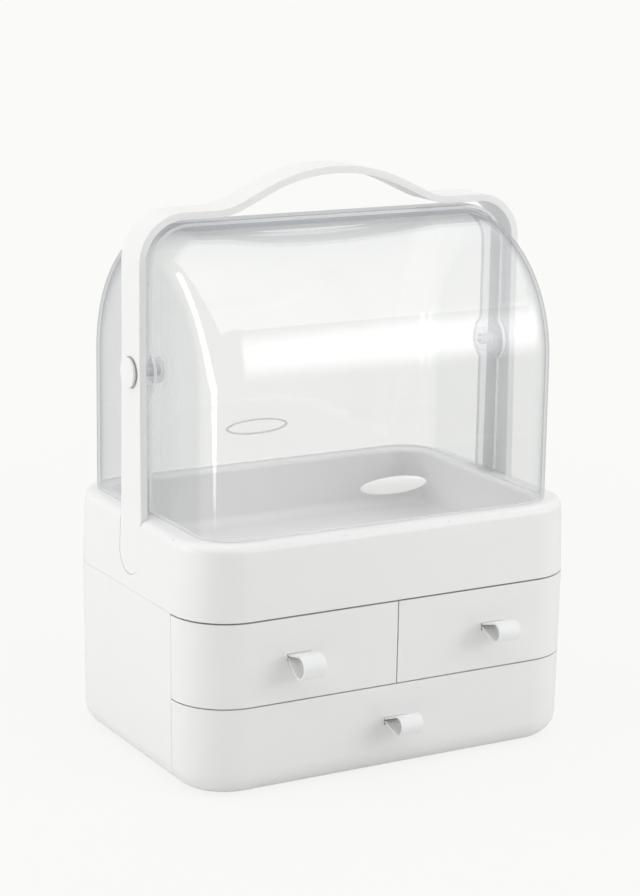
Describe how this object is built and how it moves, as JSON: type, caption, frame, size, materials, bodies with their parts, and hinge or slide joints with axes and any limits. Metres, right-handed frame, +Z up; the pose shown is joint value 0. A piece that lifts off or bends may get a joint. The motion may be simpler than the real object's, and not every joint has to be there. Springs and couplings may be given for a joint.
{
  "type": "dustproof makeup organizer",
  "caption": "A white cosmetics box with pull-out drawers under an open tray, which two clear domed half covers close under a fixed arched carry handle.",
  "frame": {"origin": "middle of the case footprint, on the surface that the feet stand on", "axes": "+Z up, -Y the front with the drawer pulls, +X to the right of someone who faces the front"},
  "size_m": [0.3022, 0.2334, 0.4017],
  "materials": {
    "white_plastic": "satin moulded white plastic",
    "clear_plastic": "clear polished plastic",
    "white_rubber": "soft white silicone strap",
    "pale_rubber": "pale anti-slip rubber",
    "bright_steel": "zinc-plated steel screws"
  },
  "bodies": {
    "base": {"case_shell": "white_plastic", "mid_shelf": "white_plastic", "centre_divider": "white_plastic", "top_tray": "white_plastic", "tray_screws": "bright_steel", "feet": "pale_rubber", "carry_handle": "white_plastic", "left_pivot_pin": "white_plastic", "right_pivot_pin": "white_plastic", "left_pivot_cap": "white_plastic", "right_pivot_cap": "white_plastic", "left_pivot_knob": "clear_plastic", "right_pivot_knob": "clear_plastic"},
    "front_cover": {"front_cover": "clear_plastic", "front_cover_oval": "white_plastic"},
    "rear_cover": {"rear_cover": "clear_plastic"},
    "left_drawer": {"left_drawer_front": "white_plastic", "left_drawer_box": "white_plastic", "left_pull_loop": "white_rubber", "left_pull_clip": "white_plastic"},
    "right_drawer": {"right_drawer_front": "white_plastic", "right_drawer_box": "white_plastic", "right_pull_loop": "white_rubber", "right_pull_clip": "white_plastic"},
    "bottom_drawer": {"bottom_drawer_front": "white_plastic", "bottom_drawer_box": "white_plastic", "bottom_pull_loop": "white_rubber", "bottom_pull_clip": "white_plastic"}
  },
  "joints": [
    {"name": "front_cover_hinge", "type": "hinge", "parent": "base", "child": "front_cover", "pos_m": [0, 0, 0.27], "axis": [-1, 0, 0], "range_deg": [0, 94]},
    {"name": "rear_cover_hinge", "type": "hinge", "parent": "base", "child": "rear_cover", "pos_m": [0, 0, 0.27], "axis": [-1, 0, 0], "range_deg": [-94, 0]},
    {"name": "left_drawer_slide", "type": "slide", "parent": "base", "child": "left_drawer", "axis": [0, -1, 0], "range_m": [0, 0.14]},
    {"name": "right_drawer_slide", "type": "slide", "parent": "base", "child": "right_drawer", "axis": [0, -1, 0], "range_m": [0, 0.14]},
    {"name": "bottom_drawer_slide", "type": "slide", "parent": "base", "child": "bottom_drawer", "axis": [0, -1, 0], "range_m": [0, 0.14]}
  ]
}
